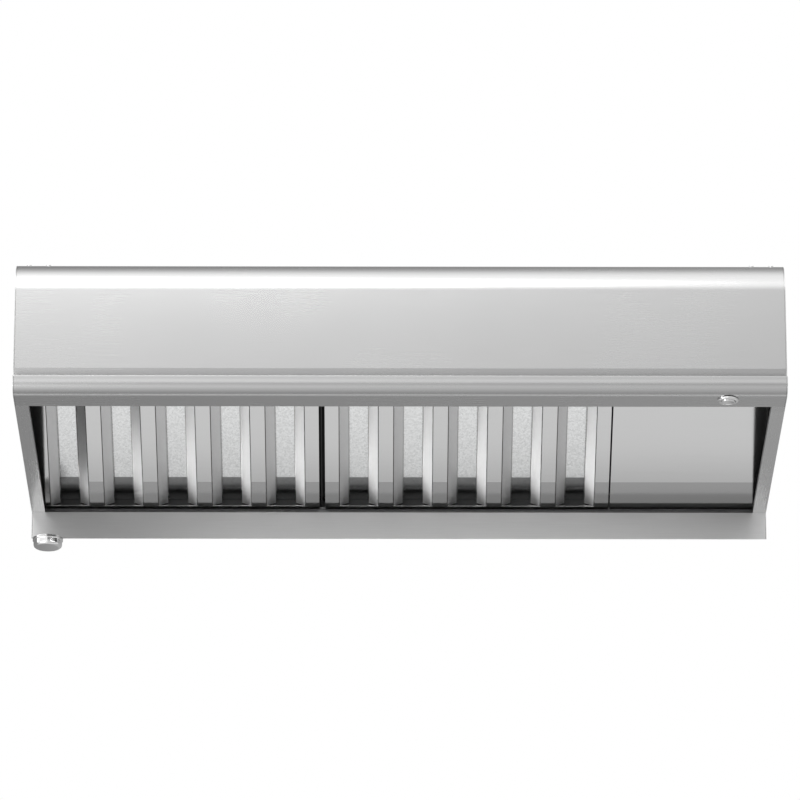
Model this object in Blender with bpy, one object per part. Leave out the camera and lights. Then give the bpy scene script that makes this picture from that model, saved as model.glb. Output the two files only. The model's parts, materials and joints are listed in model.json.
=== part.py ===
"""Under cabinet range hood: canopy, slanted baffle filters, grease trough, twin blower, duct collar.

Frame: X to the right, -Y to the cook, +Z up. Origin on the top panel's upper face.
Constants are in millimetres; MM turns them into metres where vertices are made.
"""
import math

import bmesh
import bpy
from mathutils import Matrix, Vector

MM = 0.001
GAP = 0.3                 # clearance between neighbouring pieces
SHEET = 1.5               # stainless sheet thickness

# canopy
WIDTH = 1219.2
HALF = WIDTH / 2
INNER = HALF - SHEET - GAP
BACK = 304.6
BODY_H = 233.0            # top face to the plane of lip and side rails
TOTAL_H = 279.4           # top face to the trough's lower edge
FACE_Y = -295.0
CREST_Y = -305.0
NOSE_R = 58.6
FACE_END_Z = -188.0
LEDGE_Z = -206.0
LIP_R = 25.0
LIP_BACK_Y = -236.0
LIP_RETURN = 28.0
RAIL_W = 22.0

# filters
SLOPE = math.radians(25.0)
SLOPE_Y, SLOPE_Z = 288.5, -224.5
FILTER_W, FILTER_L, FILTER_T = 470.0, 290.0, 23.5
FILTER_X = {"left": -367.0, "right": 112.5}
PITCH = 89.6
OPENING_W = 64.6
STRIP = 8.0               # plain strip below the baffle openings
FLANGE_IN, FLANGE_BACK = 17.0, 14.0
BAFFLE_T = 1.2
LIFT_ROOM = 19.0

# trough and cup
TROUGH_Y = 280.0
CUP_X, CUP_Y, CUP_R = -582.0, 279.0, 25.2
CUP_RIM_Z = -280.0
CUP_DEPTH = 16.0

# blower
ROTOR_Y, ROTOR_Z = 225.0, -88.0
WHEEL_R, WHEEL_W = 52.0, 60.0
SCROLL_R = 66.0
SCROLL_IN, SCROLL_OUT = 57.0, 133.0
MOTOR_R, MOTOR_HALF = 44.0, 45.0
SHAFT_R = 4.0

# duct
DUCT_Y, DUCT_R, DUCT_TOP = 185.0, 101.6, 52.0
HINGE_Z, HINGE_DY = 26.0, 4.5

# button and lamps
BUTTON_X, BUTTON_Y = 517.0, -270.0
BUTTON_CAP, BUTTON_NECK = 11.0, 12.2
LAMP_X, LAMP_Y, LAMP_R = 300.0, -80.0, 30.0
CEILING_Z = -50.0

FINISH = {
    "stainless": ((0.62, 0.62, 0.61), 1.0, 0.32),
    "galvanised": ((0.55, 0.57, 0.58), 1.0, 0.45),
    "chrome": ((0.80, 0.80, 0.80), 1.0, 0.08),
    "black": ((0.015, 0.015, 0.016), 0.0, 0.5),
    "motor": ((0.10, 0.10, 0.11), 0.3, 0.45),
    "glass": ((0.90, 0.90, 0.86), 0.0, 0.12),
    "board": ((0.02, 0.16, 0.07), 0.0, 0.45),
    "white": ((0.75, 0.75, 0.72), 0.0, 0.5),
    "aluminium": ((0.70, 0.71, 0.72), 1.0, 0.38),
}


# ---------------------------------------------------------------- helpers
def clear_scene():
    for obj in list(bpy.data.objects):
        bpy.data.objects.remove(obj, do_unlink=True)


def finish(obj, look):
    """Give the object a material of its own."""
    rgb, metallic, rough = FINISH[look]
    mat = bpy.data.materials.new(obj.name + "_" + look)
    mat.use_nodes = True
    shader = mat.node_tree.nodes["Principled BSDF"]
    shader.inputs["Base Color"].default_value = (*rgb, 1.0)
    shader.inputs["Metallic"].default_value = metallic
    shader.inputs["Roughness"].default_value = rough
    obj.data.materials.clear()
    obj.data.materials.append(mat)
    return obj


def from_mesh(name, bm):
    bmesh.ops.recalc_face_normals(bm, faces=bm.faces)
    mesh = bpy.data.meshes.new(name)
    bm.to_mesh(mesh)
    bm.free()
    obj = bpy.data.objects.new(name, mesh)
    bpy.context.scene.collection.objects.link(obj)
    return obj


def extrude(name, points, low, high, place):
    """Closed prism: 2-D points swept from low to high; place maps (a, b, s) to a position in mm."""
    bm = bmesh.new()
    ends = [[bm.verts.new(Vector(place(a, b, s)) * MM) for a, b in points] for s in (low, high)]
    bm.faces.new(ends[0])
    bm.faces.new(list(reversed(ends[1])))
    count = len(points)
    for i in range(count):
        j = (i + 1) % count
        bm.faces.new((ends[0][i], ends[0][j], ends[1][j], ends[1][i]))
    return from_mesh(name, bm)


def along_x(name, points, x0, x1):
    return extrude(name, points, x0, x1, lambda y, z, x: (x, y, z))


def box(name, x0, x1, y0, y1, z0, z1):
    return along_x(name, [(y0, z0), (y1, z0), (y1, z1), (y0, z1)], x0, x1)


def slope(v, n):
    """Point of the filter plane's section: v up the slope, n behind the face."""
    return (SLOPE_Y - v * math.cos(SLOPE) + n * math.sin(SLOPE),
            SLOPE_Z + v * math.sin(SLOPE) + n * math.cos(SLOPE))


def slope_box(name, x0, x1, v0, v1, n0, n1):
    return along_x(name, [slope(v0, n0), slope(v1, n0), slope(v1, n1), slope(v0, n1)], x0, x1)


def circle(radius, count=32, ca=0.0, cb=0.0):
    return [(ca + radius * math.cos(2 * math.pi * i / count),
             cb + radius * math.sin(2 * math.pi * i / count)) for i in range(count)]


def rod(name, axis, centre, radius, low, high, count=32):
    """Solid cylinder along a world axis; centre holds the two other coordinates."""
    ring = circle(radius, count, *centre)
    place = {"x": lambda a, b, s: (s, a, b), "y": lambda a, b, s: (a, s, b),
             "z": lambda a, b, s: (a, b, s)}[axis]
    return extrude(name, ring, low, high, place)


def sheet_profile(path, thick):
    """Closed outline of a bent sheet whose outer side is path and whose body lies to its left."""
    normals = []
    for (y0, z0), (y1, z1) in zip(path, path[1:]):
        length = math.hypot(y1 - y0, z1 - z0)
        normals.append((-(z1 - z0) / length, (y1 - y0) / length))
    inner = []
    for i, (y, z) in enumerate(path):
        a = normals[max(i - 1, 0)]
        b = normals[min(i, len(normals) - 1)]
        scale = thick / (1.0 + a[0] * b[0] + a[1] * b[1])
        inner.append((y + (a[0] + b[0]) * scale, z + (a[1] + b[1]) * scale))
    return path + inner[::-1]


def arc(cy, cz, radius, start, end, steps):
    """Points of an arc in the YZ plane, angles in degrees."""
    out = []
    for i in range(steps + 1):
        t = math.radians(start + (end - start) * i / steps)
        out.append((cy + radius * math.cos(t), cz + radius * math.sin(t)))
    return out


def combine(obj, others, operation):
    """Boolean the other objects into obj and remove them."""
    for other in others:
        mod = obj.modifiers.new(operation.lower(), "BOOLEAN")
        mod.operation = operation
        mod.solver = "EXACT"
        mod.object = other
        bpy.context.view_layer.objects.active = obj
        bpy.ops.object.modifier_apply(modifier=mod.name)
        bpy.data.objects.remove(other, do_unlink=True)
    return obj


def cut(obj, *cutters):
    return combine(obj, cutters, "DIFFERENCE")


def join(obj, *others):
    return combine(obj, others, "UNION")


def smooth(obj):
    for face in obj.data.polygons:
        face.use_smooth = True
    return obj


def set_origin(obj, x, y, z):
    """Move the object's origin to a point in mm, leaving its shape where it is."""
    point = Vector((x, y, z)) * MM
    obj.data.transform(Matrix.Translation(-point))
    obj.location = point
    return obj


# ---------------------------------------------------------------- canopy
def front_outline():
    """Outer side of the front skin, from its top flange round both rolls to the inner return."""
    path = [(FACE_Y + NOSE_R + 18, 0)]
    path += arc(FACE_Y + NOSE_R, -NOSE_R, NOSE_R, 90, 180, 12)
    path += [(FACE_Y, FACE_END_Z), (FACE_Y + 6, FACE_END_Z - 14), (FACE_Y + 6, LEDGE_Z)]
    path += [(CREST_Y + 1.5, LEDGE_Z), (CREST_Y, LEDGE_Z - 1.2)]
    path += arc(CREST_Y + LIP_R, -BODY_H + LIP_R, LIP_R, 180, 270, 8)
    path += [(LIP_BACK_Y, -BODY_H)]
    return path


def build_front_skin():
    path = front_outline() + [(LIP_BACK_Y, -BODY_H + LIP_RETURN)]
    skin = along_x("front_skin", sheet_profile(path, SHEET), -INNER, INNER)
    cut(skin, rod("c", "z", (BUTTON_X, BUTTON_Y), BUTTON_NECK + GAP, -BODY_H - 3, -BODY_H + 5))
    finish(skin, "stainless")
    brace = [(-293.2, -78), (-293.2, -70), (-281.5, -70), (-281.5, -112), (-293.2, -112),
             (-293.2, -104), (-291.7, -104), (-291.7, -110.5), (-283, -110.5), (-283, -71.5),
             (-291.7, -71.5), (-291.7, -78)]
    finish(along_x("front_stiffener", brace, -560, 560), "galvanised")


def build_sides():
    outline = front_outline()[1:]
    outline += [(LIP_BACK_Y + GAP, -BODY_H), (TROUGH_Y, -BODY_H), (TROUGH_Y, -TOTAL_H),
                (BACK, -TOTAL_H + 9), (BACK, 0)]
    for side, sign in (("left", -1), ("right", 1)):
        wall = along_x("side_panel_" + side, outline, sign * (HALF - SHEET), sign * HALF)
        rail = box("r", sign * (HALF - RAIL_W), sign * (HALF - 0.5), LIP_BACK_Y + GAP, TROUGH_Y - GAP,
                   -BODY_H, -BODY_H + SHEET)
        hem = box("h", sign * (HALF - RAIL_W), sign * (HALF - RAIL_W + SHEET), LIP_BACK_Y + GAP,
                  TROUGH_Y - GAP, -BODY_H + 0.5, -BODY_H + 9)
        join(wall, rail, hem)
        finish(wall, "stainless")


def build_top_and_back():
    top = box("top_panel", -INNER, INNER, FACE_Y + NOSE_R + 18 + GAP, BACK, -SHEET, 0)
    cut(top, rod("c", "z", (0, DUCT_Y), DUCT_R + GAP, -5, 5, 64),
        rod("c", "z", (470, 240), 11.3, -5, 5))
    for x in (-540, 540):
        for y in (-180, 250):
            cut(top, rod("c", "z", (x, y), 3.5, -5, 5, 16))
    finish(top, "stainless")
    back = box("back_panel", -INNER, INNER, BACK - SHEET, BACK, -TOTAL_H + 9.4, -SHEET - GAP)
    finish(back, "stainless")


def build_ceiling():
    """Inner panel from behind the lip up to the filter channel, carrying the lamps."""
    path = [(LIP_BACK_Y + GAP, -BODY_H + 10), (LIP_BACK_Y + GAP, -204), (-190, CEILING_Z),
            (3, CEILING_Z), (3, -99)]
    panel = along_x("lamp_panel", sheet_profile(path, -SHEET), -INNER, INNER)
    for sign in (-1, 1):
        cut(panel, rod("c", "z", (sign * LAMP_X, LAMP_Y), LAMP_R, CEILING_Z - 5, CEILING_Z + 5))
    finish(panel, "stainless")


def build_trough():
    rise = (BACK - SHEET - GAP - TROUGH_Y) * math.tan(math.radians(20))
    back_y = BACK - SHEET - GAP
    outer = [(TROUGH_Y, -BODY_H), (TROUGH_Y, -TOTAL_H), (back_y, -TOTAL_H + rise), (back_y, -244),
             (back_y - SHEET, -244), (back_y - SHEET, -BODY_H)]
    inner = [(TROUGH_Y + SHEET, -BODY_H + 5), (TROUGH_Y + SHEET, -TOTAL_H + 2.2),
             (back_y - SHEET, -TOTAL_H + rise + 1.2), (back_y - SHEET, -BODY_H + 5)]
    trough = along_x("grease_trough", outer, -INNER, INNER)
    cut(trough, along_x("c", inner, -INNER + SHEET, INNER - SHEET))
    cut(trough, rod("c", "z", (CUP_X, 291), 8.3, -300, -262, 24))
    finish(trough, "stainless")
    collar = rod("cup_collar", "z", (CUP_X, CUP_Y), CUP_R, CUP_RIM_Z - 1.5, CUP_RIM_Z, 48)
    join(collar, rod("n", "z", (CUP_X, 291), 8.0, CUP_RIM_Z - 1.0, -268, 24),
         rod("s", "z", (CUP_X, CUP_Y), CUP_R - 4, CUP_RIM_Z - 6, CUP_RIM_Z - 1, 48))
    cut(collar, rod("c", "z", (CUP_X, CUP_Y), CUP_R - 5.5, CUP_RIM_Z - 7, CUP_RIM_Z - 1.5, 48),
        rod("c", "z", (CUP_X, 291), 6.5, CUP_RIM_Z - 3, -260, 24))
    finish(smooth(collar), "chrome")
    cup = rod("grease_cup", "z", (CUP_X, CUP_Y), CUP_R, CUP_RIM_Z - CUP_DEPTH, CUP_RIM_Z - 1.8, 48)
    cut(cup, rod("c", "z", (CUP_X, CUP_Y), CUP_R - 3.2, CUP_RIM_Z - CUP_DEPTH + 1.5, CUP_RIM_Z, 48))
    set_origin(cup, CUP_X, CUP_Y, CUP_RIM_Z - 1.8)
    finish(smooth(cup), "chrome")


# ---------------------------------------------------------------- filter bay
def build_channel():
    end = FILTER_L + LIFT_ROOM
    path = [slope(FILTER_L - 18, -0.8), slope(end, -0.8), slope(end, 25.0)]
    path.append((path[-1][0], -SHEET - GAP))
    channel = along_x("filter_channel", sheet_profile(path, SHEET), -INNER, INNER)
    join(channel, slope_box("w", -INNER, INNER, FILTER_L - 14, end + 0.6, 24.3, 25.8))
    finish(channel, "stainless")
    wall_y = BACK - SHEET - GAP - 0.2
    high = slope(-GAP, (wall_y - slope(-GAP, 0)[0]) / math.sin(SLOPE))
    sill = sheet_profile([(wall_y, -240), high, slope(-GAP, 4)], SHEET)
    reach = INNER - SHEET - GAP
    finish(along_x("filter_sill", sill, -reach, reach), "stainless")
    divider = slope_box("filter_divider", -136, -120, 4, FILTER_L - 16, FILTER_T + 0.8, FILTER_T + 2.3)
    join(divider, slope_box("d", -128.75, -127.25, 4, FILTER_L - 16, 2.0, FILTER_T + 1.5))
    finish(divider, "black")


def opening_centres():
    return [(i - 2) * PITCH for i in range(5)]


def build_filter(side):
    """One baffle filter: frame, stamped front plate with bent flanges, slotted rear plate."""
    cx = FILTER_X[side]
    x0, x1 = cx - FILTER_W / 2, cx + FILTER_W / 2
    name = "filter_" + side
    frame = slope_box(name + "_frame", x0, x1, 0, FILTER_L, 1.5, FILTER_T)
    cut(frame, slope_box("c", x0 + 1.2, x1 - 1.2, 1.2, FILTER_L - 1.2, 0, FILTER_T - 1.2),
        slope_box("c", x0 + 9, x1 - 9, 9, FILTER_L - 9, 10, FILTER_T + 2))
    finish(frame, "stainless")
    front = slope_box(name + "_front_baffles", x0, x1, 0, FILTER_L, 0, BAFFLE_T)
    half = OPENING_W / 2
    for c in opening_centres():
        cut(front, slope_box("c", cx + c - half, cx + c + half, STRIP, FILTER_L - 12, -2, 5))
        for sign in (-1, 1):
            join(front, flange(cx + c, sign, half))
    finish(front, "stainless")
    rear = slope_box(name + "_rear_baffles", x0 + 1.5, x1 - 1.5, 1.5, FILTER_L - 1.5,
                     FILTER_T - 2.7, FILTER_T - 1.5)
    for i in range(6):
        c = (i - 2.5) * PITCH
        wide = 15.0 if 0 < i < 5 else 9.0
        shift = 0 if 0 < i < 5 else (6 if i == 0 else -6)
        cut(rear, slope_box("c", cx + c + shift - wide, cx + c + shift + wide, 16, FILTER_L - 16, 10, 30))
    finish(rear, "galvanised")
    for obj in (frame, front, rear):
        set_origin(obj, cx, *slope(0, 0))


def flange(centre, sign, half):
    """Flange bent back from an opening's edge, its lower end cut on the slant."""
    edge, deep = centre + sign * (half + 0.6), centre + sign * (half - FLANGE_IN)
    top = FILTER_L - 12.4
    rows = [(edge, STRIP - 0.4, 0.3), (edge, top, 0.3), (deep, top, FLANGE_BACK),
            (deep, STRIP + 8, FLANGE_BACK)]
    bm = bmesh.new()
    rings = []
    for push in (0.0, BAFFLE_T):
        ring = []
        for x, v, n in rows:
            y, z = slope(v, n + (0.0 if n < 1 else push * 0.4))
            ring.append(bm.verts.new(Vector((x + sign * push, y, z)) * MM))
        rings.append(ring)
    bm.faces.new(rings[0])
    bm.faces.new(rings[1][::-1])
    for i in range(4):
        j = (i + 1) % 4
        bm.faces.new((rings[0][i], rings[0][j], rings[1][j], rings[1][i]))
    return from_mesh("flange", bm)


def build_blank_panel():
    """Flat cover over the electrics, its two long edges folded back."""
    x0, x1, deep = 350.0, 603.5, 13.0
    fold = [(x0, deep), (x0, 0), (x1, 0), (x1, deep)]
    extrude_up = lambda x, n, v: (x, *slope(v, n))
    panel = extrude("blank_panel", sheet_profile(fold, 1.2), 0, FILTER_L, extrude_up)
    finish(panel, "stainless")


# ---------------------------------------------------------------- electrics
def build_electrics():
    shell = box("control_box", 372, 588, 190, BACK - SHEET - GAP, -118, -30)
    cut(shell, box("c", 373.2, 586.8, 180, 301, -116.8, -31.2))
    finish(shell, "galvanised")
    finish(box("control_box_lid", 370.5, 589.5, 188.2, 189.7, -119, -29), "galvanised")
    finish(box("circuit_board", 382, 500, 295.5, 297.1, -108, -42), "board")
    finish(box("board_spacer", 430, 450, 297.4, 300.7, -85, -65), "white")
    finish(rod("capacitor", "x", (270, -75), 16, 520, 578, 24), "aluminium")
    finish(box("capacitor_clip", 545, 553, 286.3, 300.7, -84, -66), "galvanised")
    block = box("terminal_block", 400, 470, 276, 295.2, -62, -48)
    for i in range(5):
        cut(block, rod("c", "y", (408 + 13.5 * i, -55), 3.2, 270, 288, 12))
    finish(block, "black")
    bush = rod("supply_bushing", "z", (470, 240), 15, 0.0 - SHEET - GAP - 3, -SHEET - GAP, 32)
    join(bush, rod("n", "z", (470, 240), 11.0, -SHEET - GAP - 12, -0.3, 32))
    cut(bush, rod("c", "z", (470, 240), 7.5, -30, 10, 32))
    finish(bush, "black")


def build_button():
    centre, z = (BUTTON_X, BUTTON_Y), -BODY_H
    bezel = rod("button_bezel", "z", centre, 17.0, z - 4.0, z - GAP, 48)
    join(bezel, rod("n", "z", centre, BUTTON_NECK, z - 2, z + 22, 48))
    cut(bezel, rod("c", "z", centre, BUTTON_CAP + GAP, z - 10, z + 30, 48))
    finish(smooth(bezel), "chrome")
    nut = rod("button_nut", "z", centre, 15.5, z + SHEET + 0.7, z + 6.5, 6)
    cut(nut, rod("c", "z", centre, BUTTON_NECK + GAP, z, z + 10, 48))
    finish(nut, "aluminium")
    cap = rod("button_plunger", "z", centre, BUTTON_CAP, z - 5.5, z + 12, 48)
    set_origin(cap, BUTTON_X, BUTTON_Y, z - 5.5)
    finish(smooth(cap), "chrome")
    finish(box("button_switch", BUTTON_X - 13, BUTTON_X + 13, BUTTON_Y - 13, BUTTON_Y + 13,
               z + 22.3, z + 40), "black")


def build_lamps():
    for side, x in (("left", -LAMP_X), ("right", LAMP_X)):
        z = CEILING_Z
        housing = rod("lamp_housing_" + side, "z", (x, LAMP_Y), LAMP_R - GAP, z - SHEET, z + 26, 40)
        cut(housing, rod("c", "z", (x, LAMP_Y), LAMP_R - 2.5, z - 5, z + 18, 40))
        finish(smooth(housing), "aluminium")
        bezel = rod("lamp_bezel_" + side, "z", (x, LAMP_Y), 37, z - SHEET - 3.3, z - SHEET - GAP, 48)
        cut(bezel, rod("c", "z", (x, LAMP_Y), 27, z - 10, z + 5, 48))
        finish(smooth(bezel), "stainless")
        finish(smooth(rod("lamp_lens_" + side, "z", (x, LAMP_Y), 26.7, z - SHEET - 2.6, z + 1.5, 40)),
               "glass")
        finish(rod("lamp_board_" + side, "z", (x, LAMP_Y), 24, z + 6, z + 8, 32), "white")
        finish(rod("lamp_heat_pad_" + side, "z", (x, LAMP_Y), 12, z + 8.3, z + 17.7, 24), "aluminium")


# ---------------------------------------------------------------- blower and duct
def build_scroll(side, sign):
    a, b = sorted((sign * SCROLL_IN, sign * SCROLL_OUT))
    centre = (ROTOR_Y, ROTOR_Z)
    top = -20.0 - GAP
    shell = rod("blower_housing_" + side, "x", centre, SCROLL_R, a, b, 40)
    join(shell, box("o", a, b, ROTOR_Y - SCROLL_R, ROTOR_Y + 12, ROTOR_Z, top))
    hollow = rod("i", "x", centre, SCROLL_R - 1.5, a + 1.5, b - 1.5, 40)
    join(hollow, box("j", a + 1.5, b - 1.5, ROTOR_Y - SCROLL_R + 1.5, ROTOR_Y + 10.5, ROTOR_Z, top + 5))
    cut(shell, hollow, rod("k", "x", centre, 42, a - 3, b + 3, 40))
    finish(shell, "galvanised")


def build_wheel(side, sign):
    middle = sign * (SCROLL_IN + SCROLL_OUT) / 2
    a, b = middle - WHEEL_W / 2, middle + WHEEL_W / 2
    centre = (ROTOR_Y, ROTOR_Z)
    wheel = rod("blower_wheel_" + side, "x", centre, WHEEL_R, a, b, 48)
    cut(wheel, rod("c", "x", centre, WHEEL_R - 5, a - 1, middle - 1, 48),
        rod("c", "x", centre, WHEEL_R - 5, middle + 1, b + 1, 48))
    join(wheel, rod("h", "x", centre, 9, middle - 9, middle + 9, 24))
    cut(wheel, rod("c", "x", centre, SHAFT_R + GAP, a, b, 24))
    for i in range(24):
        t = 2 * math.pi * i / 24
        y = ROTOR_Y + (WHEEL_R - 2.5) * math.cos(t)
        z = ROTOR_Z + (WHEEL_R - 2.5) * math.sin(t)
        for low, high in ((a + 4, middle - 2.5), (middle + 2.5, b - 4)):
            cut(wheel, blade_slot(y, z, t, low, high))
    set_origin(wheel, middle, *centre)
    finish(wheel, "black")


def blade_slot(y, z, turn, low, high):
    along = (math.cos(turn + 0.5), math.sin(turn + 0.5))
    across = (-along[1], along[0])
    points = [(y + along[0] * p * 5.5 + across[0] * q * 3.4, z + along[1] * p * 5.5 + across[1] * q * 3.4)
              for p, q in ((-1, -1), (1, -1), (1, 1), (-1, 1))]
    return along_x("slot", points, low, high)


def build_blower():
    centre = (ROTOR_Y, ROTOR_Z)
    for side, sign in (("left", -1), ("right", 1)):
        build_scroll(side, sign)
        build_wheel(side, sign)
    motor = rod("blower_motor", "x", centre, MOTOR_R, -MOTOR_HALF + 8, MOTOR_HALF - 8, 40)
    join(motor, rod("e", "x", centre, MOTOR_R - 8, -MOTOR_HALF, MOTOR_HALF, 40))
    cut(motor, rod("c", "x", centre, SHAFT_R + GAP, -60, 60, 24))
    finish(smooth(motor), "motor")
    shaft = rod("blower_shaft", "x", centre, SHAFT_R, -112, 112, 24)
    set_origin(shaft, 0, *centre)
    finish(smooth(shaft), "stainless")
    saddle = box("motor_saddle", -28, 28, ROTOR_Y - 26, ROTOR_Y + 26, -60, -20 - GAP)
    cut(saddle, rod("c", "x", centre, MOTOR_R + GAP, -60, 60, 40),
        box("c", -25, 25, ROTOR_Y - 40, ROTOR_Y + 40, -70, -23))
    finish(saddle, "galvanised")


def build_outlet():
    plenum = box("outlet_box", -150, 150, 75, 298, -20, -SHEET - GAP)
    cut(plenum, box("c", -148.8, 148.8, 76.2, 296.8, -18.8, 5))
    for sign in (-1, 1):
        a, b = sorted((sign * (SCROLL_IN + 1.5), sign * (SCROLL_OUT - 1.5)))
        cut(plenum, box("c", a, b, ROTOR_Y - SCROLL_R + 1.5, ROTOR_Y + 10.5, -25, -15))
    finish(plenum, "galvanised")
    collar = rod("duct_collar", "z", (0, DUCT_Y), DUCT_R, -4.0, DUCT_TOP, 64)
    join(collar, rod("f", "z", (0, DUCT_Y), 108, -4.5, -SHEET - GAP, 64))
    cut(collar, rod("c", "z", (0, DUCT_Y), DUCT_R - 1.5, -10, 80, 64))
    finish(smooth(collar), "galvanised")
    for side, sign in (("front", -1), ("back", 1)):
        build_flap(side, sign)


def build_flap(side, sign):
    """Half-disc damper flap with a rolled knuckle, on its own rod."""
    axis_y = DUCT_Y + sign * HINGE_DY
    reach = DUCT_R - 1.5 - GAP - 1.5
    half = math.sqrt(reach ** 2 - HINGE_DY ** 2)
    finish(rod("damper_rod_" + side, "x", (axis_y, HINGE_Z), 1.5, -half, half, 16), "stainless")
    disc = rod("damper_flap_" + side, "z", (0, DUCT_Y), reach - 1.5, HINGE_Z - 0.6, HINGE_Z + 0.6, 64)
    keep = sorted((DUCT_Y - sign * 150, axis_y + sign * 1.9))
    cut(disc, box("c", -150, 150, keep[0], keep[1], HINGE_Z - 5, HINGE_Z + 5))
    join(disc, rod("k", "x", (axis_y, HINGE_Z), 2.8, -half + 8, half - 8, 16))
    cut(disc, rod("c", "x", (axis_y, HINGE_Z), 1.8, -150, 150, 16))
    set_origin(disc, 0, axis_y, HINGE_Z)
    finish(disc, "aluminium")


def build_screws():
    """Pan-head screws on the top roll, two at each end."""
    tilt = math.radians(20)
    for index, x in enumerate((-590, -559, 559, 590), start=1):
        name = "skin_screw_%d" % index
        cy = FACE_Y + NOSE_R - NOSE_R * math.sin(tilt)
        cz = -NOSE_R + NOSE_R * math.cos(tilt)
        spin = lambda a, b, s: (x + a, cy + b * math.cos(tilt) - s * math.sin(tilt),
                                cz + b * math.sin(tilt) + s * math.cos(tilt))
        finish(extrude(name, circle(3.6, 16), 0.35, 1.7, spin), "stainless")


def build_hood():
    clear_scene()
    build_front_skin()
    build_sides()
    build_top_and_back()
    build_ceiling()
    build_trough()
    build_channel()
    for side in FILTER_X:
        build_filter(side)
    build_blank_panel()
    build_electrics()
    build_button()
    build_lamps()
    build_blower()
    build_outlet()
    build_screws()


build_hood()
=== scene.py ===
"""Under cabinet range hood in brushed stainless steel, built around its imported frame."""
import json
import math

import bpy
from mathutils import Matrix, Vector


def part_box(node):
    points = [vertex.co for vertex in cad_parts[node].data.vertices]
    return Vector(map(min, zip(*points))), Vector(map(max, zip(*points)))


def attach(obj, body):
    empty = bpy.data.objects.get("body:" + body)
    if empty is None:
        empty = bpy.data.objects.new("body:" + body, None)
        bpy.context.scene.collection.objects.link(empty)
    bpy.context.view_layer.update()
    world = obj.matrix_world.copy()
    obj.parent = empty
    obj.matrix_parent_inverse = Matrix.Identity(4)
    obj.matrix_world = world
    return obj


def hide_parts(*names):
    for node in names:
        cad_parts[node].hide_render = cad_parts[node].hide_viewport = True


bl_info = {
    "name": "Under Cabinet Range Hood",
    "version": (1, 0, 0),
    "blender": (4, 5, 0),
    "location": "3D View > Sidebar > Range Hood",
    "description": "Models and finishes each piece of a range hood and its studio",
    "category": "Object",
}

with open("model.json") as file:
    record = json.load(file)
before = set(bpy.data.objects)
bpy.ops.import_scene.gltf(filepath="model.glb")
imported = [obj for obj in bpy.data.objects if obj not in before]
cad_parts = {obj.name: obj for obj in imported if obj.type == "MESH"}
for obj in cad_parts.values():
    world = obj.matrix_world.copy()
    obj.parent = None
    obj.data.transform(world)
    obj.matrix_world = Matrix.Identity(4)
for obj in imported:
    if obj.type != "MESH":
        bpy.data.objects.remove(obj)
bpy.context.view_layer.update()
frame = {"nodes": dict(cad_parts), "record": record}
NODES = frame["nodes"]
NODE_BODY = {node: body for body, names in frame["record"]["behaviour"]["bodies"].items()
             for node in names}
MM = 0.001

# Front skin: lines that its own box does not give, in millimetres.
ROLL_RADIUS = 58.6
FACE_SETBACK = 10.0
TOP_FLANGE = 18.0
COVE_TOP, COVE_DEPTH, COVE_RISE = -190.0, 7.5, 16.0
LEDGE_Z = -206.0
CROWN = 0.75                    # how far the flat face bellies out at its middle
LIP_RADIUS = 25.0
LIP_BACK, LIP_RETURN = -236.0, 28.0
SHEET = 1.5
BUTTON_HOLE = 12.5

# Filter bay: its slope, from its foot above the trough up to the front, in millimetres.
SLOPE = math.radians(25.0)
SLOPE_Y, SLOPE_Z = 288.5, -224.5
UPHILL = Vector((0.0, -math.cos(SLOPE), math.sin(SLOPE)))
INTO = Vector((0.0, math.sin(SLOPE), math.cos(SLOPE)))

# Stamped filter plate, in millimetres.
PLATE_LENGTH = 290.0
OPENINGS = 5
PITCH, OPENING = 89.6, 64.6
FOOT_STRIP, HEAD_STRIP = 8.0, 12.0
FLANGE_IN, FLANGE_BACK = 15.4, 12.6
FLANGE_SLANT = 6.0              # how much longer a flange is at its foot, on its inner edge
HEM_LIP, HEM_DROP = 1.5, 0.2
FLANGE_BEND = 1.3
PLATE_SHADE_LINE, REAR_SHADE_LINE = 65.0, 55.0  # how far up the slope the painted shade reaches
FACES_COOK = -0.985             # a face this square to the slope looks down at the cook


# ------------------------------------------------------------------ settings
def linear(code):
    """sRGB hex such as "#C8C8C6" as a linear RGBA colour."""
    out = []
    for i in (1, 3, 5):
        c = int(code[i:i + 2], 16) / 255
        out.append(c / 12.92 if c <= 0.04045 else ((c + 0.055) / 1.055) ** 2.4)
    return (*out, 1.0)


def tone(label, code, text):
    return bpy.props.FloatVectorProperty(name=label, description=text, subtype="COLOR", size=3,
                                         min=0.0, max=1.0, default=linear(code)[:3])


def length(label, mm, text):
    return bpy.props.FloatProperty(name=label, description=text, default=mm * MM, min=0.0,
                                   unit="LENGTH", subtype="DISTANCE")


class HoodSizes(bpy.types.PropertyGroup):
    """Small sizes of the finished pieces."""
    edge: length("Sheet edge radius", 0.35, "Rounding left on a deburred sheet edge")
    baffle_sheet: length("Baffle sheet", 1.0, "Thickness of the stamped baffle plates")
    hem: length("Baffle hem", 2.4, "Depth of the folded hem on each baffle flange")


class HoodColours(bpy.types.PropertyGroup):
    """Colours of the finishes."""
    stainless: tone("Stainless", "#CACACA", "Brushed ferritic stainless steel")
    zinc: tone("Galvanised", "#E4E5E5", "Hot-dip zinc with a fine spangle")
    chrome: tone("Chrome", "#EFEFEF", "Polished nickel-chrome plate")
    alloy: tone("Aluminium", "#C9CBCD", "Mill-finish aluminium")
    black: tone("Black", "#0E0E0F", "Matt black moulding or paint")
    motor: tone("Motor enamel", "#3A3D40", "Dark grey motor enamel")
    board: tone("Circuit board", "#1E5A34", "Green solder resist")


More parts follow.
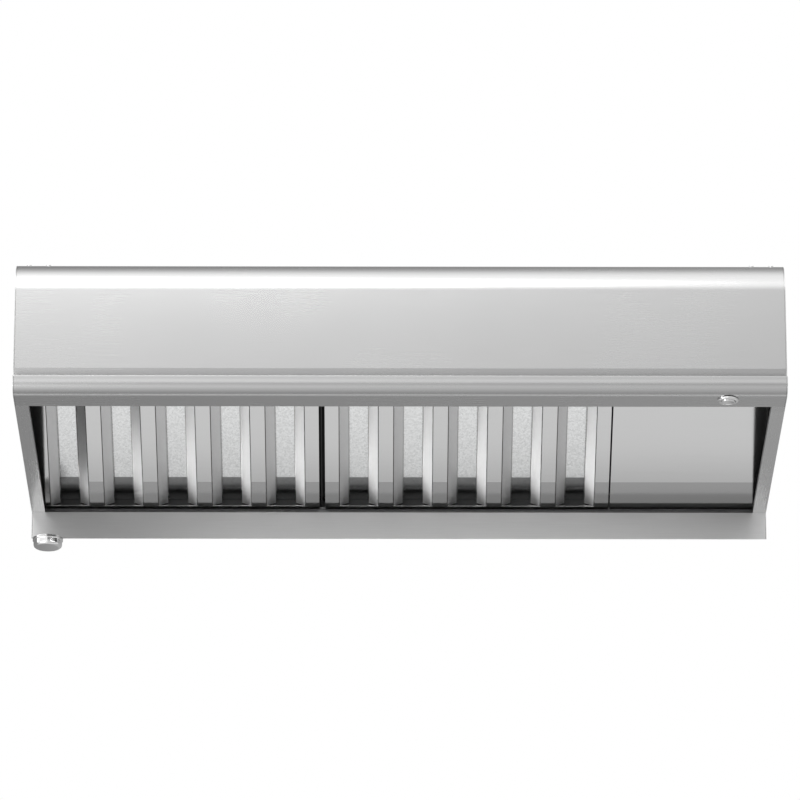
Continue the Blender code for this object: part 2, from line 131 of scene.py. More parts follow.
class StudioSettings(bpy.types.PropertyGroup):
    """Lights and camera."""
    key: bpy.props.FloatProperty(name="Key light", description="Power of the large overhead light",
                                 default=60.0, min=0.0, unit="POWER")
    low: bpy.props.FloatProperty(name="Low light", description="Power of the light under the hood",
                                 default=0.72, min=0.0, unit="POWER")
    side: bpy.props.FloatProperty(name="Side light", description="Power of the low light at the left",
                                  default=80.0, min=0.0, unit="POWER")
    sky: bpy.props.FloatProperty(name="Surround", description="Brightness of the studio walls",
                                 default=1.0, min=0.0)
    lens: bpy.props.FloatProperty(name="Lens", description="Focal length", default=274.9,
                                  min=20.0, unit="CAMERA")


def sizes():
    return bpy.context.scene.hood_sizes


def colour(name):
    return (*getattr(bpy.context.scene.hood_colours, name), 1.0)


# ------------------------------------------------------------------ materials
def add_node(tree, kind, inputs=None, **settings):
    """Adds a node, sets its properties, and fills its inputs with values or links."""
    made = tree.nodes.new(kind)
    for key, value in settings.items():
        setattr(made, key, value)
    for key, value in (inputs or {}).items():
        if isinstance(value, bpy.types.NodeSocket):
            tree.links.new(value, made.inputs[key])
        else:
            made.inputs[key].default_value = value
    return made


def new_material(name, metallic=0.0, roughness=0.5):
    mat = bpy.data.materials.new(name)
    mat.use_nodes = True
    tree = mat.node_tree
    shader = tree.nodes["Principled BSDF"]
    shader.inputs["Metallic"].default_value = metallic
    shader.inputs["Roughness"].default_value = roughness
    where = tree.nodes.new("ShaderNodeTexCoord").outputs["Object"]
    return mat, tree, shader, where


def ramp(tree, value, stops):
    """Colour ramp from grey stops (position, grey) or (position, colour)."""
    made = add_node(tree, "ShaderNodeValToRGB", {"Fac": value})
    points = made.color_ramp.elements
    while len(points) < len(stops):
        points.new(0.5)
    for point, (place, shade) in zip(points, stops):
        point.position = place
        point.color = shade if isinstance(shade, tuple) else (shade, shade, shade, 1.0)
    return made.outputs["Color"]


# Directions of the brushed grain, in waves a metre along X, Y and Z.
ALONG_WIDTH = (12.0, 700.0, 700.0)
ALONG_DEPTH = (700.0, 12.0, 700.0)


def brushed_steel(name, grain=ALONG_WIDTH, turn=(0.0, 0.0, 0.0), roughness=0.27,
                  shade=1.0, contrast=1.0):
    """Brushed ferritic stainless steel: belt-ground lines along one direction, as a fine silky
    streak. The grain is in waves a metre: 12 along the lines is a streak of 80 mm, and 700
    across them is a line each 1.4 mm, coarser than the real belt's, so that it shows."""
    mat, tree, shader, where = new_material(name, 1.0, roughness)
    base = colour("stainless")
    placed = add_node(tree, "ShaderNodeMapping", {"Vector": where, "Rotation": turn,
                                                  "Scale": grain})
    lines = add_node(tree, "ShaderNodeTexNoise", {"Vector": placed.outputs[0], "Scale": 1.0,
                                                  "Detail": 5.0, "Roughness": 0.62})
    wipe = add_node(tree, "ShaderNodeTexNoise", {"Vector": where, "Scale": 5.0, "Detail": 2.0})
    dark = tuple(c * (1 - 0.03 * contrast) * shade for c in base[:3]) + (1.0,)
    light = tuple(min(c * (1 + 0.03 * contrast) * shade, 1.0) for c in base[:3]) + (1.0,)
    tint = ramp(tree, lines.outputs["Fac"], [(0.32, dark), (0.68, light)])
    rough = add_node(tree, "ShaderNodeMath", {0: lines.outputs["Fac"], 1: 0.06 * contrast,
                                               2: roughness - 0.03 * contrast - 0.02},
                     operation="MULTIPLY_ADD")
    rough = add_node(tree, "ShaderNodeMath", {0: wipe.outputs["Fac"], 1: 0.04, 2: rough.outputs[0]},
                     operation="MULTIPLY_ADD")
    bump = add_node(tree, "ShaderNodeBump", {"Height": lines.outputs["Fac"],
                                             "Strength": 0.04 * contrast, "Distance": 0.0002})
    tree.links.new(tint, shader.inputs["Base Color"])
    tree.links.new(rough.outputs[0], shader.inputs["Roughness"])
    tree.links.new(bump.outputs["Normal"], shader.inputs["Normal"])
    return mat


def galvanised_steel(name, shade_factor=1.0):
    """Hot-dip galvanised sheet: interlocking zinc crystals about 3 mm across, each a slightly
    different grey, with a fine matt speckle over them. A shade factor of less than 1, its last
    argument, darkens it as painted shade."""
    mat, tree, shader, where = new_material(name, 1.0, 0.3)
    base = colour("zinc")
    crystal = add_node(tree, "ShaderNodeTexVoronoi", {"Vector": where, "Scale": 330.0})
    speck = add_node(tree, "ShaderNodeTexNoise", {"Vector": where, "Scale": 800.0, "Detail": 3.0})
    mixed = add_node(tree, "ShaderNodeMix", {0: 0.75, 6: crystal.outputs["Color"],
                                             7: speck.outputs["Color"]}, data_type="RGBA")
    grey = add_node(tree, "ShaderNodeRGBToBW", {"Color": mixed.outputs[2]})
    dark = tuple(c * 0.84 * shade_factor for c in base[:3]) + (1.0,)
    light = tuple(min(c * 1.10 * shade_factor, 1.0) for c in base[:3]) + (1.0,)
    tint = ramp(tree, grey.outputs[0], [(0.34, dark), (0.60, light)])
    rough = add_node(tree, "ShaderNodeMath", {0: grey.outputs[0], 1: 0.16, 2: 0.12},
                     operation="MULTIPLY_ADD")
    bump = add_node(tree, "ShaderNodeBump", {"Height": grey.outputs[0], "Strength": 0.08,
                                             "Distance": 0.0003})
    tree.links.new(tint, shader.inputs["Base Color"])
    tree.links.new(rough.outputs[0], shader.inputs["Roughness"])
    tree.links.new(bump.outputs["Normal"], shader.inputs["Normal"])
    return mat


def flecked(name, base, metallic, roughness, scale, spread=0.10, strength=0.10, depth=0.0002):
    """A finish with a fine all-over grain: cast, moulded, enamelled or plated, by its numbers."""
    mat, tree, shader, where = new_material(name, metallic, roughness)
    grain = add_node(tree, "ShaderNodeTexNoise", {"Vector": where, "Scale": scale, "Detail": 4.0})
    patch = add_node(tree, "ShaderNodeTexNoise", {"Vector": where, "Scale": 22.0, "Detail": 2.0})
    dark = tuple(c * (1 - spread) for c in base[:3]) + (1.0,)
    light = tuple(min(c * (1 + spread), 1.0) for c in base[:3]) + (1.0,)
    tint = ramp(tree, grain.outputs["Fac"], [(0.30, dark), (0.70, light)])
    rough = add_node(tree, "ShaderNodeMath", {0: patch.outputs["Fac"], 1: 0.12, 2: roughness - 0.06},
                     operation="MULTIPLY_ADD")
    bump = add_node(tree, "ShaderNodeBump", {"Height": grain.outputs["Fac"], "Strength": strength,
                                             "Distance": depth})
    tree.links.new(tint, shader.inputs["Base Color"])
    tree.links.new(rough.outputs[0], shader.inputs["Roughness"])
    tree.links.new(bump.outputs["Normal"], shader.inputs["Normal"])
    return mat


def frosted_lens(name):
    """Frosted glass over a switched-off lamp: milky, with a faint acid-etched grain."""
    mat = flecked(name, linear("#E9E9E4"), 0.0, 0.42, 1600.0, 0.03, 0.2)
    shader = mat.node_tree.nodes["Principled BSDF"]
    shader.inputs["Transmission Weight"].default_value = 0.35
    shader.inputs["IOR"].default_value = 1.5
    return mat


def circuit_laminate(name):
    """Glass-epoxy board: green resist with lighter copper lines 0.3 mm wide, 1.6 mm apart."""
    mat = flecked(name, colour("board"), 0.0, 0.42, 700.0, 0.15, 0.1)
    tree = mat.node_tree
    shader = tree.nodes["Principled BSDF"]
    where = tree.nodes["Texture Coordinate"].outputs["Object"]
    laid = add_node(tree, "ShaderNodeMapping", {"Vector": where, "Rotation": (math.pi / 2, 0, 0),
                                                "Scale": (160.0, 160.0, 160.0)})
    tracks = add_node(tree, "ShaderNodeTexBrick", {
        "Vector": laid.outputs[0], "Color1": colour("board"), "Color2": linear("#2C7244"),
        "Mortar": linear("#5FA06A"),
        "Scale": 1.0, "Mortar Size": 0.05})
    tree.links.new(tracks.outputs["Color"], shader.inputs["Base Color"])
    return mat


MATERIALS = {}


def finishes():
    """Every finish by its own name, made once."""
    if MATERIALS:
        return MATERIALS
    MATERIALS.update({
        # The front skin and the inner sheets: No. 4 brushed along the hood's width.
        "steel_across": brushed_steel("stainless_brushed_along_width", contrast=0.42),
        # The side panels' bottom rails and edges: brushed from front to back, their base colour
        # brightened 1.12 times as painted light.
        "steel_fore_aft": brushed_steel("stainless_brushed_front_to_back_painted_light", ALONG_DEPTH,
                                        shade=1.12, contrast=0.6),
        # The side panels' outside: the same sheet ground duller, its base colour darkened to 0.55 as
        # painted shade.
        "steel_side": brushed_steel("stainless_brushed_side_panel_painted_shade", ALONG_DEPTH,
                                    roughness=0.6, shade=0.55, contrast=0.5),
        # The ledge's top: its base colour darkened to 0.42 as painted shade, which keeps the line
        # under the cove dark.
        "steel_ledge": brushed_steel("stainless_brushed_ledge_painted_shade", ALONG_WIDTH,
                                     roughness=0.5, shade=0.42),
        # Filter plates, filter frames and the blank panel: near-mirror sheet, faintly rolled.
        "steel_bright": brushed_steel("stainless_bright_annealed", (9.0, 300.0, 300.0),
                                      roughness=0.11, shade=0.97, contrast=0.35),
        # The same sheet low on the slope: its base colour darkened to 0.69 as painted shade.
        "steel_painted_shade": brushed_steel("stainless_bright_annealed_painted_shade", (9.0, 300.0, 300.0),
                                    roughness=0.13, shade=0.69, contrast=0.35),
        # The baffles' flanges: drawn metal with a satin surface from the press, its base colour
        # brightened 1.42 times as painted light.
        "steel_satin": brushed_steel("stainless_satin_painted_light", (300.0, 14.0, 300.0), (SLOPE, 0.0, 0.0),
                                     roughness=0.42, shade=1.42, contrast=0.5),
        # Faces that look into the canopy, and the baffles' tight bends: mill finish with its base
        # colour darkened to 0.15 as painted shade.
        "steel_unlit": brushed_steel("stainless_mill_finish_painted_shade", (30.0, 500.0, 500.0),
                                     roughness=0.45, shade=0.15),
        # The grease trough: a coarser belt along its length.
        "steel_trough": brushed_steel("stainless_brushed_coarse", ALONG_WIDTH, roughness=0.42),
        # Top and back panels: mill finish, as rolled.
        "steel_inside": brushed_steel("stainless_mill_finish_inside", (30.0, 500.0, 500.0),
                                      roughness=0.38, shade=0.9),
        # Rear baffles, stiffener, duct collar, and the blower's and control box's sheet parts.
        "zinc": galvanised_steel("galvanised_steel_spangled"),
        # Rear baffles low on the slope: zinc darkened to 0.34 as painted shade.
        "zinc_painted_shade": galvanised_steel("galvanised_steel_painted_shade", 0.34),
        # Grease cup, its collar, push button, shaft, rods and screws: polished plate.
        "chrome": flecked("nickel_chrome_polished", colour("chrome"), 1.0, 0.10, 300.0, 0.02, 0.02),
        # Damper flaps, lamp housings, heat pads, capacitor and nut: mill-finish aluminium.
        "alloy": flecked("aluminium_mill_finish", colour("alloy"), 1.0, 0.36, 500.0, 0.06, 0.08),
        # Switch body, terminal block and bushing: ABS with a fine moulded grain.
        "black": flecked("abs_moulded_black", colour("black"), 0.0, 0.5, 1400.0, 0.25, 0.15),
        # Filter divider and blower wheels: black powder coat with a light orange peel.
        "black_paint": flecked("steel_powder_coated_black", colour("black"), 0.0, 0.55, 900.0,
                               0.2, 0.3),
        # Motor can: dark grey stoved enamel.
        "motor": flecked("steel_enamelled_dark_grey", colour("motor"), 0.0, 0.4, 600.0, 0.1, 0.1),
        # Lamp boards and the board spacer: natural white nylon.
        "white": flecked("nylon_moulded_white", linear("#D9D8D2"), 0.0, 0.45, 900.0, 0.04, 0.08),
        # Lamp lenses.
        "lens": frosted_lens("glass_frosted"),
        # Circuit board in the control box.
        "board": circuit_laminate("glass_epoxy_board_green"),
    })
    return MATERIALS


# ------------------------------------------------------------------ modelling helpers
def deselect():
    if bpy.context.object and bpy.context.object.mode != "OBJECT":
        bpy.ops.object.mode_set(mode="OBJECT")
    bpy.ops.object.select_all(action="DESELECT")


def focus(obj):
    """Makes the object the only one selected, and the active one."""
    deselect()
    obj.select_set(True)
    bpy.context.view_layer.objects.active = obj
    return obj


def pick(obj, kind, test):
    """Selects only the vertices, edges or faces that pass the test, goes into edit mode, and
    says how many there are."""
    bpy.ops.object.mode_set(mode="OBJECT")
    mesh = obj.data
    for group in (mesh.vertices, mesh.edges, mesh.polygons):
        group.foreach_set("select", [False] * len(group))
    count = 0
    group = {"VERT": mesh.vertices, "EDGE": mesh.edges, "FACE": mesh.polygons}[kind]
    for item in group:
        if kind == "VERT":
            found = test(item.co)
        elif kind == "EDGE":
            a, b = (mesh.vertices[i].co for i in item.vertices)
            found = test((a + b) / 2, (b - a))
        else:
            found = test(item.center, item.normal)
        if found:
            item.select = True
            count += 1
    bpy.ops.object.mode_set(mode="EDIT")
    bpy.ops.mesh.select_mode(type=kind)
    return count


def apply_modifier(obj, kind, **settings):
    """Adds a modifier, sets it up and applies it at once."""
    mod = obj.modifiers.new(kind.title(), kind)
    for key, value in settings.items():
        setattr(mod, key, value)
    focus(obj)
    bpy.ops.object.modifier_apply(modifier=mod.name)


def round_edges(obj, radius, segments=2, angle=38.0):
    """Rounds every edge sharper than the angle, to a radius in metres."""
    apply_modifier(obj, "BEVEL", width=radius, segments=segments, limit_method="ANGLE",
                   angle_limit=math.radians(angle), harden_normals=True, use_clamp_overlap=True)
    return obj


def smooth(obj, angle=36.0):
    """Smooth shading up to the angle, with the large flat faces kept flat."""
    focus(obj)
    bpy.ops.object.shade_smooth_by_angle(angle=math.radians(angle))
    apply_modifier(obj, "WEIGHTED_NORMAL", mode="FACE_AREA", weight=50, keep_sharp=True)
    return obj


def freeze(obj):
    """Puts the object's place, turn and scale into its mesh."""
    focus(obj)
    bpy.ops.object.transform_apply(location=True, rotation=True, scale=True)
    return obj


def cut_away(obj, cutter):
    """Takes the cutter's space out of the piece, and the cutter out of the scene."""
    apply_modifier(obj, "BOOLEAN", operation="DIFFERENCE", solver="EXACT", object=cutter)
    bpy.data.objects.remove(cutter, do_unlink=True)
    return obj


def complete(obj, name, finish, nodes, body=None):
    """Names the piece, gives it its finish and slot, and sets it in place of its CAD nodes."""
    obj.name = name
    obj.data.name = name
    obj.data.materials.clear()
    obj.data.materials.append(finishes()[finish])
    for face in obj.data.polygons:
        face.material_index = 0
    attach(obj, body or NODE_BODY[nodes[0]])
    if nodes:
        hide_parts(*nodes)
    return obj


def shade_faces(obj, finish, test):
    """Gives the faces the test picks out by centre and normal another finish."""
    obj.data.materials.append(finishes()[finish])
    last = len(obj.data.materials) - 1
    for face in obj.data.polygons:
        if test(face.center, face.normal):
            face.material_index = last
    return obj


def shade_below_line(obj, height, finish, facing=1.1):
    """Cuts a sloped sheet across at a height up the slope, in mm, and gives what lies below it a
    darker finish as painted shade; facing keeps that to faces turned to the cook."""
    line = Vector((0.0, SLOPE_Y, SLOPE_Z)) * MM + UPHILL * height * MM
    focus(obj)
    bpy.ops.object.mode_set(mode="EDIT")
    bpy.ops.mesh.select_all(action="SELECT")
    bpy.ops.mesh.bisect(plane_co=line, plane_no=UPHILL)
    bpy.ops.object.mode_set(mode="OBJECT")
    smooth(obj, 40)
    return shade_faces(obj, finish, lambda mid, n: (mid - line).dot(UPHILL) < 0
                       and n.dot(INTO) < facing)


def shade_inside(obj, test):
    """Gives the faces that the test picks out, looking into the canopy or lying in tight bends, the
    near-black steel_unlit finish as painted shade.
    """
    return shade_faces(obj, "steel_unlit", test)


def strip(start, end, x0, x1):
    """A rectangle from x0 to x1 between two (y, z) points, in mm, ready to be extruded on."""
    deselect()
    (y0, z0), (y1, z1) = start, end
    bpy.ops.mesh.primitive_plane_add(size=1.0, location=(
        (x0 + x1) / 2 * MM, (y0 + y1) / 2 * MM, (z0 + z1) / 2 * MM))
    obj = bpy.context.object
    obj.scale = ((x1 - x0) * MM, math.hypot(y1 - y0, z1 - z0) * MM, 1.0)
    obj.rotation_euler = (math.atan2(z1 - z0, y1 - y0), 0.0, 0.0)
    return freeze(obj)


def fold(path, x0, x1, thick, bends, radius):
    """A sheet folded along a (y, z) path in mm: extruded edge by edge, its listed corners bent
    to a radius, and thickened towards the inside of the hood."""
    obj = strip(path[0], path[1], x0, x1)
    for here, there in zip(path[1:], path[2:]):
        spot = Vector((0, here[0], here[1])) * MM
        pick(obj, "EDGE", lambda mid, run: abs(run.x) > 1e-6 and (mid - spot).yz.length < 1e-6)
        bpy.ops.mesh.extrude_region_move(TRANSFORM_OT_translate={
            "value": (0, (there[0] - here[0]) * MM, (there[1] - here[1]) * MM)})
    for index in bends:
        spot = Vector((0, path[index][0], path[index][1])) * MM
        if pick(obj, "EDGE", lambda mid, run: abs(run.x) > 1e-6 and (mid - spot).yz.length < 1e-6):
            bpy.ops.mesh.bevel(offset=radius * MM, segments=3, affect="EDGES")
    bpy.ops.object.mode_set(mode="OBJECT")
    apply_modifier(obj, "SOLIDIFY", thickness=thick * MM, offset=1.0, use_even_offset=True)
    focus(obj)
    bpy.ops.object.mode_set(mode="EDIT")
    bpy.ops.mesh.select_all(action="SELECT")
    bpy.ops.mesh.normals_make_consistent(inside=False)
    bpy.ops.object.mode_set(mode="OBJECT")
    return obj


def arc(cy, cz, radius, start, end, steps):
    """Points (y, z) along an arc about (cy, cz), from one angle to another in degrees."""
    return [(cy + radius * math.cos(math.radians(start + (end - start) * i / steps)),
             cz + radius * math.sin(math.radians(start + (end - start) * i / steps)))
            for i in range(steps + 1)]


def refine(node, finish, edge=None, segments=2):
    """A copy of a CAD node with its triangles merged, its edges rounded and its curves smooth."""
    source = NODES[node]
    obj = source.copy()
    obj.data = source.data.copy()
    obj.parent = None
    obj.matrix_world = Matrix.Identity(4)
    bpy.context.scene.collection.objects.link(obj)
    obj.hide_render = obj.hide_viewport = False
    focus(obj)
    bpy.ops.object.mode_set(mode="EDIT")
    bpy.ops.mesh.select_all(action="SELECT")
    bpy.ops.mesh.remove_doubles(threshold=1e-6)
    bpy.ops.mesh.dissolve_limited(angle_limit=math.radians(0.4))
    bpy.ops.object.mode_set(mode="OBJECT")
    radius = sizes().edge if edge is None else edge * MM
    if radius > 0:
        round_edges(obj, radius, segments)
    smooth(obj)
    return complete(obj, node + "_finished", finish, [node])


def lathe(centre, profile, steps=64):
    """A turned piece about the vertical through centre: profile is (radius, height) in mm."""
    deselect()
    cx, cy = centre
    r0, z0 = profile[0]
    bpy.ops.mesh.primitive_plane_add(size=1.0, location=(0, 0, 0))
    obj = bpy.context.object
    bpy.ops.object.mode_set(mode="EDIT")
    bpy.ops.mesh.select_mode(type="VERT")
    bpy.ops.mesh.select_all(action="SELECT")
    bpy.ops.mesh.merge(type="CENTER")
    bpy.ops.mesh.select_all(action="SELECT")
    bpy.ops.transform.translate(value=((cx + r0) * MM, cy * MM, z0 * MM))
    for (ra, za), (rb, zb) in zip(profile, profile[1:]):
        bpy.ops.mesh.extrude_region_move(TRANSFORM_OT_translate={
            "value": ((rb - ra) * MM, 0, (zb - za) * MM)})
    bpy.ops.mesh.select_all(action="SELECT")
    bpy.ops.mesh.spin(steps=steps, angle=2 * math.pi, center=(cx * MM, cy * MM, 0),
                      axis=(0, 0, 1), use_auto_merge=True)
    bpy.ops.mesh.select_all(action="SELECT")
    bpy.ops.mesh.remove_doubles(threshold=1e-6)
    bpy.ops.mesh.normals_make_consistent(inside=False)
    bpy.ops.object.mode_set(mode="OBJECT")
    return obj


# ------------------------------------------------------------------ operators
class HoodOperator(bpy.types.Operator):
    bl_options = {"REGISTER", "UNDO"}


class HOOD_OT_front_skin(HoodOperator):
    """Folded front sheet with its large roll, cove, ledge and lower roll"""
    bl_idname = "hood.front_skin"
    bl_label = "Front skin"

    def execute(self, context):
        low, high = (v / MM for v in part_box("front_skin"))
        face, crest, base = low.y + FACE_SETBACK, low.y, low.z
        roll = arc(face + ROLL_RADIUS, -ROLL_RADIUS, ROLL_RADIUS, 90, 180, 36)
        lip = arc(crest + LIP_RADIUS, base + LIP_RADIUS, LIP_RADIUS, 180, 270, 20)
        path = [(face + ROLL_RADIUS + TOP_FLANGE, 0.0)] + roll
        crown = [(face - CROWN * 4 * t * (1 - t), -ROLL_RADIUS + t * (COVE_TOP + ROLL_RADIUS))
                 for t in (i / 10 for i in range(1, 10))]
        path += crown
        cove = len(path)
        path += [(face, COVE_TOP), (face + COVE_DEPTH, COVE_TOP - COVE_RISE), (crest, LEDGE_Z)]
        path += lip + [(LIP_BACK, base), (LIP_BACK, base + LIP_RETURN)]
        bends = (cove, cove + 1, cove + 2, len(path) - 2)
        skin = fold(path, low.x, high.x, SHEET, bends, 0.3)
        cap_low, cap_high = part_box("button_plunger")
        middle = (cap_low + cap_high) / 2
        deselect()
        bpy.ops.mesh.primitive_cylinder_add(vertices=64, radius=BUTTON_HOLE * MM, depth=20 * MM,
                                            location=(middle.x, middle.y, low.z * MM))
        cut_away(skin, bpy.context.object)
        round_edges(skin, 0.3 * MM, 2, 50)
        smooth(skin, 30)
        complete(skin, "front_skin_sheet", "steel_across", ["front_skin"])
        # The ledge's top gets the darkened steel_ledge finish: painted shade.
        shade_faces(skin, "steel_ledge", lambda mid, n: n.z > 0.8 and -0.21 < mid.z < -0.2)
        refine("front_stiffener", "zinc")
        return {"FINISHED"}


class HOOD_OT_canopy(HoodOperator):
    """Side panels, top, back, lamp panel and the filter bay's sheets"""
    bl_idname = "hood.canopy"
    bl_label = "Canopy panels"

    def execute(self, context):
        for side in ("left", "right"):
            inward = 1.0 if side == "left" else -1.0
            panel = refine("side_panel_" + side, "steel_fore_aft")
            # Inner faces and the rails' tops: near-black painted shade; the outside: darkened
            # steel_side, painted shade; the rest: steel_fore_aft, brightened as painted light.
            shade_inside(panel, lambda mid, n: n.x * inward > 0.7 or (n.z > 0.7 and mid.z < -0.22))
            shade_faces(panel, "steel_side", lambda mid, n: n.x * inward < -0.7)
        refine("top_panel", "steel_inside", 0.25)
        refine("back_panel", "steel_inside", 0.25)
        refine("lamp_panel", "steel_across")
        refine("filter_channel", "steel_across")
        refine("filter_sill", "steel_across")
        refine("filter_divider", "black_paint", 0.2)
        # The blank panel's lower part gets the darkened finish: painted shade.
        shade_below_line(refine("blank_panel", "steel_bright", 0.4), PLATE_SHADE_LINE, "steel_painted_shade", FACES_COOK)
        return {"FINISHED"}


class HOOD_OT_grease_trough(HoodOperator):
    """Grease trough, its collar and the chrome cup"""
    bl_idname = "hood.grease_trough"
    bl_label = "Grease trough and cup"

    def execute(self, context):
        refine("grease_trough", "steel_trough", 0.4)
        refine("cup_collar", "chrome", 0.3)
        low, high = (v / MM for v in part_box("grease_cup"))
        r, deep = (high.x - low.x) / 2, high.z - low.z
        profile = [(0.0, 0.0), (r - 8, 0.0), (r - 4.5, 0.6), (r - 2.4, 2.2), (r - 1.6, 4.5),
                   (r - 1.4, deep - 3.4), (r - 0.9, deep - 2.4), (r, deep - 2.0), (r, deep - 0.4),
                   (r - 0.5, deep), (r - 3.2, deep), (r - 3.2, 2.8), (r - 4.4, 1.8), (0.0, 1.4)]
        cup = lathe(((low.x + high.x) / 2, (low.y + high.y) / 2),
                    [(a, low.z + z) for a, z in profile], 72)
        smooth(cup, 50)
        complete(cup, "grease_cup_turned", "chrome", ["grease_cup"])
        return {"FINISHED"}


def to_slope(obj, centre_x):
    """Lays a plate modelled flat, with its face up, onto the filter plane."""
    obj.rotation_euler = (math.pi - SLOPE, 0.0, 0.0)
    obj.location = Vector((centre_x, SLOPE_Y, SLOPE_Z)) * MM
    return freeze(obj)


def pick_side_edges(obj, sides):
    """Selects the long edges in the plate's plane at the given x places, in mm."""
    return pick(obj, "EDGE", lambda mid, run: abs(run.y) > 0.05 and abs(mid.z) < 1e-6 and any(
        abs(mid.x - x * MM) < 1e-5 for x in sides))


def stamped_baffles(width, sheet, hem):
    """Front plate of a filter, flat and face up, its openings' flanges bent back and hemmed."""
    half = width / 2
    centres = [(i - (OPENINGS - 1) / 2) * PITCH for i in range(OPENINGS)]
    sides = [c + s * OPENING / 2 for c in centres for s in (-1, 1)]
    columns = [-half, *sides, half]
    rows = [0.0, FOOT_STRIP, PLATE_LENGTH - HEAD_STRIP, PLATE_LENGTH]
    obj = strip((rows[0], 0.0), (rows[1], 0.0), columns[0], columns[1])
    for a, b in zip(rows[1:], rows[2:]):
        pick(obj, "EDGE", lambda mid, run: abs(run.x) > 1e-6 and abs(mid.y - a * MM) < 1e-6)
        bpy.ops.mesh.extrude_region_move(TRANSFORM_OT_translate={"value": (0, (b - a) * MM, 0)})
    for a, b in zip(columns[1:], columns[2:]):
        pick(obj, "EDGE", lambda mid, run: abs(run.y) > 1e-6 and abs(mid.x - a * MM) < 1e-6)
        bpy.ops.mesh.extrude_region_move(TRANSFORM_OT_translate={"value": ((b - a) * MM, 0, 0)})
    pick(obj, "FACE", lambda mid, n: rows[1] * MM < mid.y < rows[2] * MM and any(
        abs(mid.x - c * MM) < 1e-4 for c in centres))
    bpy.ops.mesh.delete(type="ONLY_FACE")
    for c in centres:
        for sign in (-1, 1):
            bend_flange(obj, c + sign * OPENING / 2, -sign, hem)
    pick_side_edges(obj, sides)
    bpy.ops.mesh.bevel(offset=FLANGE_BEND * MM, segments=3, affect="EDGES")
    bpy.ops.object.mode_set(mode="OBJECT")
    apply_modifier(obj, "SOLIDIFY", thickness=sheet, offset=-1.0, use_even_offset=True)
    return obj


def bend_flange(obj, edge_x, inward, hem):
    """Extrudes one opening edge inwards and back, slants its lower end, and adds the hem."""
    pick_side_edges(obj, [edge_x])
    bpy.ops.mesh.extrude_region_move(TRANSFORM_OT_translate={
        "value": (inward * FLANGE_IN * MM, 0, -FLANGE_BACK * MM)})
    bpy.ops.object.mode_set(mode="OBJECT")
    for v in obj.data.vertices:
        if v.select and v.co.y < PLATE_LENGTH / 2 * MM:
            v.co.y -= FLANGE_SLANT * MM
    bpy.ops.object.mode_set(mode="EDIT")
    bpy.ops.mesh.extrude_region_move(TRANSFORM_OT_translate={
        "value": (inward * HEM_LIP * MM, 0, -HEM_DROP * MM)})
    bpy.ops.mesh.extrude_region_move(TRANSFORM_OT_translate={"value": (0, 0, -hem)})


def finish_plate(plate):
    """Satin flanges brightened as painted light, painted shade in the tight bends and on the inner
    faces, and painted shade low on the plate.
    """
    # Faces turned into the plate: near-black painted shade.
    shade_inside(plate, lambda mid, n: n.dot(INTO) > 0.5)
    # Flanges: satin steel with its base colour brightened as painted light.
    shade_faces(plate, "steel_satin", lambda mid, n: n.dot(INTO) < -0.3 and abs(n.x) > 0.58)
    # Tight bend faces: near-black painted shade in the creases.
    shade_inside(plate, lambda mid, n: -0.985 < n.dot(INTO) < -0.80 and 0.2 < abs(n.x) < 0.58)
    # Below the line up the slope: darker steel as painted shade.
    return shade_below_line(plate, PLATE_SHADE_LINE, "steel_painted_shade", FACES_COOK)


class HOOD_OT_filters(HoodOperator):
    """Both baffle filters: frame, stamped front plate and slotted rear plate"""
    bl_idname = "hood.filters"
    bl_label = "Baffle filters"

    def execute(self, context):
        for side in ("left", "right"):
            name = "filter_" + side
            low, high = (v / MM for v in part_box(name + "_front_baffles"))
            plate = stamped_baffles(high.x - low.x, sizes().baffle_sheet, sizes().hem)
            to_slope(plate, (low.x + high.x) / 2)
            round_edges(plate, 0.25 * MM, 2, 60)
            smooth(plate, 40)
            complete(plate, name + "_stamped_plate", "steel_bright",
                     [name + "_front_baffles"])
            finish_plate(plate)
            frame_piece = refine(name + "_frame", "steel_bright", 0.3)
            # Frame faces turned up the slope at the back: near-black painted shade.
            shade_inside(frame_piece, lambda mid, n: n.dot(UPHILL) > 0.6 and mid.y > 0.2)
            # The rear baffles' lower part: darkened zinc as painted shade.
            shade_below_line(refine(name + "_rear_baffles", "zinc", 0.25), REAR_SHADE_LINE, "zinc_painted_shade")
        return {"FINISHED"}


class HOOD_OT_push_button(HoodOperator):
    """Chrome push button with its bezel, nut and switch body"""
    bl_idname = "hood.push_button"
    bl_label = "Push button"

    def execute(self, context):
        low, high = (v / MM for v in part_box("button_bezel"))
        middle = ((low.x + high.x) / 2, (low.y + high.y) / 2)
        cap_low, cap_high = (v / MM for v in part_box("button_plunger"))
        cap = (cap_high.x - cap_low.x) / 2
        r, top = (high.x - low.x) / 2, low.z + 3.7
        ring = [(cap + 0.3, high.z), (cap + 0.3, low.z + 1.4), (cap + 0.8, low.z + 0.4),
                (cap + 1.6, low.z), (r - 2.6, low.z + 0.1), (r - 1.3, low.z + 0.6),
                (r - 0.5, low.z + 1.3), (r - 0.1, low.z + 2.1), (r, top - 0.3), (r - 0.3, top),
                (12.2, top), (12.2, high.z)]
        bezel = lathe(middle, ring + ring[:1], 80)
        smooth(bezel, 50)
        complete(bezel, "button_bezel_turned", "chrome", ["button_bezel"])
        face = cap_low.z
        shape = [(0.0, face + 1.1), (cap - 4.0, face + 0.9), (cap - 2.2, face + 0.2),
                 (cap - 1.2, face), (cap - 0.4, face + 0.25), (cap, face + 0.9),
                 (cap, cap_high.z), (0.0, cap_high.z)]
        plunger = lathe(middle, shape, 80)
        smooth(plunger, 50)
        complete(plunger, "button_plunger_turned", "chrome", ["button_plunger"])
        refine("button_nut", "alloy", 0.3)
        refine("button_switch", "black", 0.6)
        return {"FINISHED"}


